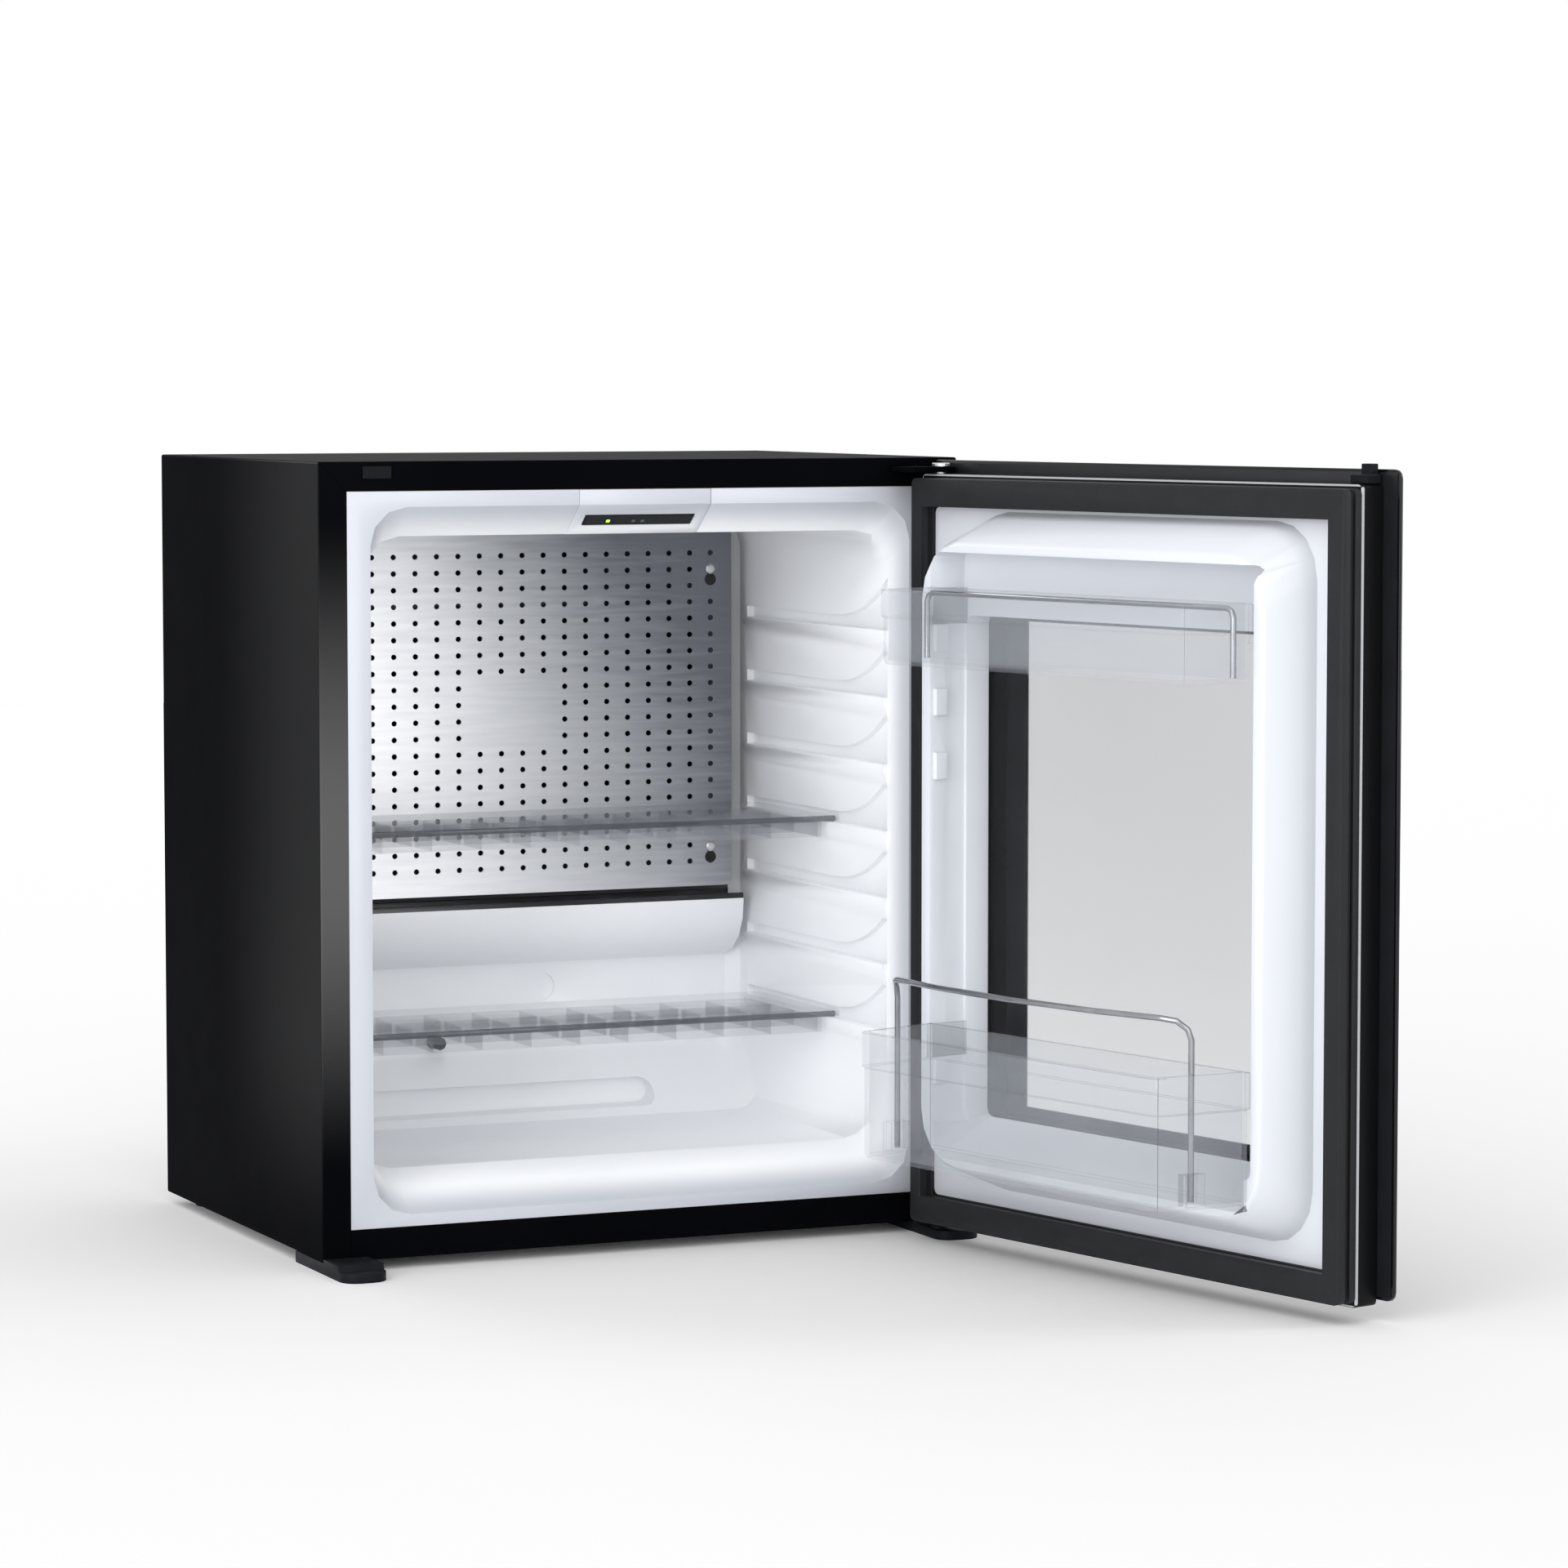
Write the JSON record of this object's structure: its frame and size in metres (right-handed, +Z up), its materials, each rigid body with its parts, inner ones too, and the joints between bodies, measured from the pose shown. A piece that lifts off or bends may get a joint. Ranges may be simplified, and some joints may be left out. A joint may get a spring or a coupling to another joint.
{
  "type": "minibar_fridge",
  "caption": "Compact black minibar fridge with a hinged glass-window door, clear door racks, sliding clear shelves and a rear absorption cooling unit",
  "frame": {"origin": "centre of the cabinet underside", "axes": "+Z up, the front of the cabinet looks to -Y, +X to the hinge side"},
  "size_m": [0.5785, 0.9092, 0.564],
  "materials": {
    "black_steel": "satin black paint",
    "black_plastic": "matt black moulded plastic",
    "white_liner": "smooth cool white thermoformed sheet",
    "foam": "rigid foam",
    "aluminium": "satin rolled sheet",
    "clear_plastic": "clear moulded plastic",
    "steel_wire": "bright plated wire",
    "zinc_plate": "zinc plated steel",
    "galvanised": "dull galvanised steel",
    "gasket_rubber": "soft matt black",
    "door_glass": "clear glass",
    "black_print": "black print on glass",
    "grey_plastic": "dark grey moulded plastic",
    "lens": "gloss black",
    "green_light": "small lit green window"
  },
  "bodies": {
    "cabinet": {"absorber_coil": "galvanised", "absorber_vessel": "galvanised", "back_panel": "galvanised", "base_plate": "galvanised", "blind_cap": "black_plastic", "boiler_case": "galvanised", "bottom_rail": "black_steel", "condenser": "galvanised", "control_housing": "white_liner", "control_lens": "lens", "drain_hose": "black_plastic", "electrical_box": "black_plastic", "evaporation_tray": "black_plastic", "evaporator_fins": "aluminium", "evaporator_tube": "galvanised", "front_foot": "grey_plastic", "heat_exchanger": "galvanised", "inner_liner": "white_liner", "insulation_foam": "foam", "lower_hinge_bracket": "grey_plastic", "lower_hinge_pin": "zinc_plate", "outer_case": "black_steel", "perforated_plate": "aluminium", "plate_screw_left_bottom": "zinc_plate", "plate_screw_left_top": "zinc_plate", "plate_screw_right_bottom": "zinc_plate", "plate_screw_right_top": "zinc_plate", "power_inlet": "black_plastic", "rear_foot_left": "grey_plastic", "rear_foot_right": "grey_plastic", "status_light_1": "green_light", "status_light_2": "green_light", "status_light_3": "green_light", "unit_bracket_left": "galvanised", "unit_bracket_right": "galvanised", "upper_hinge_pin": "zinc_plate", "upper_hinge_plate": "black_steel"},
    "door": {"door_frame": "black_plastic", "lower_bush": "grey_plastic", "upper_bush": "grey_plastic", "door_glass": "door_glass", "printed_border": "black_print", "window_spacer": "black_plastic", "inner_pane": "door_glass", "door_liner": "white_liner", "door_foam": "foam", "door_gasket": "gasket_rubber", "latch_cap": "grey_plastic"},
    "shelf_upper": {"shelf_upper": "clear_plastic"},
    "shelf_lower": {"shelf_lower": "clear_plastic"},
    "rack_upper": {"rack_upper": "clear_plastic", "rail_upper": "steel_wire"},
    "rack_lower": {"rack_lower": "clear_plastic", "rail_lower": "steel_wire"}
  },
  "joints": [
    {"name": "door_hinge", "type": "hinge", "parent": "cabinet", "child": "door", "pos_m": [0.218, -0.204, 0.275], "axis": [0, 0, 1], "range_deg": [-103, 7]},
    {"name": "shelf_upper_slide", "type": "slide", "parent": "cabinet", "child": "shelf_upper", "axis": [0, -1, 0], "range_m": [0, 0.085]},
    {"name": "shelf_lower_slide", "type": "slide", "parent": "cabinet", "child": "shelf_lower", "axis": [0, -1, 0], "range_m": [0, 0.085]},
    {"name": "rack_upper_lift", "type": "slide", "parent": "door", "child": "rack_upper", "axis": [0, 0, 1], "range_m": [0, 0.018]},
    {"name": "rack_lower_lift", "type": "slide", "parent": "door", "child": "rack_lower", "axis": [0, 0, 1], "range_m": [0, 0.03]}
  ]
}
